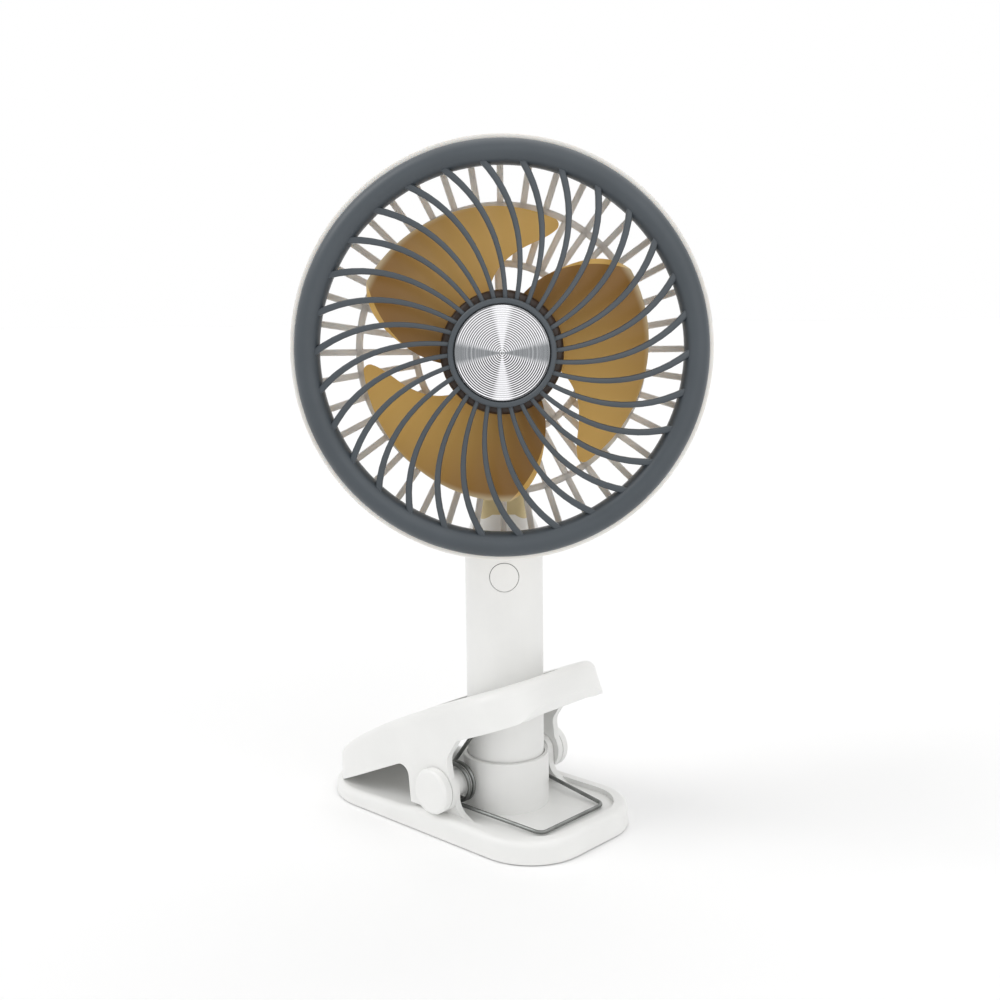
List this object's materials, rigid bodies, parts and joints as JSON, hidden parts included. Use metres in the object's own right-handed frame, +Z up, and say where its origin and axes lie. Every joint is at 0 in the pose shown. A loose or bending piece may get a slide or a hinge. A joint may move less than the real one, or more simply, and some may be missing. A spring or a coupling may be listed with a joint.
{
  "type": "clip fan",
  "caption": "Small round fan on a plug-in cylindrical handle that turns in the socket of a spring clip with a hinged lever, with a tilting caged head and a push button.",
  "frame": {"origin": "where the handle's axis meets the surface that the clip stands on, on the foot pad's underside", "axes": "+Z up along the handle, +X along the clip from its jaw to its rear, Y across it; the head faces 43 degrees round from -Y towards +X, as in the picture"},
  "size_m": [0.1475, 0.1051, 0.2371],
  "materials": {
    "white_plastic": "fine satin",
    "dark_grey_plastic": "fine satin",
    "amber_plastic": "semi-gloss, slightly see-through in real life",
    "cream_plastic": "satin",
    "acetal": "smooth",
    "soft_pad": "matt",
    "spring_steel": "drawn wire",
    "plated_steel": "zinc plated",
    "spun_aluminium": "turned with fine rings",
    "cell_sleeve": "shrink sleeve",
    "circuit_board": "solder mask",
    "nickel_strip": "nickel plated",
    "black_plastic": "matt",
    "clear_window": "milky",
    "bronze_bush": "sintered",
    "rotor_steel": "laminated"
  },
  "bodies": {
    "base": {"clip_base": "white_plastic", "foot_pad": "soft_pad", "socket_cup": "white_plastic", "socket_screws": "plated_steel", "pivot_pins": "white_plastic", "clamp_spring": "spring_steel"},
    "lever": {"clamp_lever": "white_plastic"},
    "bush": {"swivel_bush": "acetal"},
    "handle": {"handle_front_shell": "white_plastic", "handle_rear_shell": "white_plastic", "shell_screws": "plated_steel", "handle_end_cap": "white_plastic", "battery_cell": "cell_sleeve", "battery_lower_contact": "nickel_strip", "battery_upper_contact": "nickel_strip", "control_board": "circuit_board", "button_switch": "black_plastic", "charging_inlet": "plated_steel", "indicator_window": "clear_window", "tilt_fork": "white_plastic", "tilt_pin": "plated_steel", "friction_washers": "acetal"},
    "button": {"power_button": "white_plastic"},
    "head": {"rear_housing": "cream_plastic", "front_grille": "dark_grey_plastic", "hub_badge": "spun_aluminium", "motor_cover": "cream_plastic", "cover_screws": "plated_steel", "motor_can": "plated_steel", "motor_end_bell": "black_plastic", "shaft_bushes": "bronze_bush"},
    "fan_wheel": {"impeller": "amber_plastic", "motor_shaft": "plated_steel", "motor_rotor": "rotor_steel"}
  },
  "joints": [
    {"name": "lever_hinge", "type": "hinge", "parent": "base", "child": "lever", "pos_m": [-0.0058, 0, 0.0171], "axis": [0, 1, 0], "range_deg": [0, 25], "stiffness_Nm_per_rad": 1.2, "springref_deg": -14.32, "deforming": ["clamp_spring"]},
    {"name": "handle_swivel", "type": "hinge", "parent": "base", "child": "bush", "pos_m": [0, 0, 0.0134], "axis": [0, 0, 1], "continuous": true},
    {"name": "handle_lift", "type": "slide", "parent": "bush", "child": "handle", "axis": [0, 0, 1], "range_m": [0, 0.055]},
    {"name": "button_press", "type": "slide", "parent": "handle", "child": "button", "axis": [-0.682, 0.7314, 0], "range_m": [0, 0.0006], "stiffness_N_per_m": 1500},
    {"name": "head_tilt", "type": "hinge", "parent": "handle", "child": "head", "pos_m": [0.00136, -0.00146, 0.125], "axis": [-0.7314, -0.682, 0], "range_deg": [0, 90]},
    {"name": "impeller_spin", "type": "hinge", "parent": "head", "child": "fan_wheel", "pos_m": [0, 0, 0.1691], "axis": [-0.682, 0.7314, 0], "continuous": true}
  ]
}
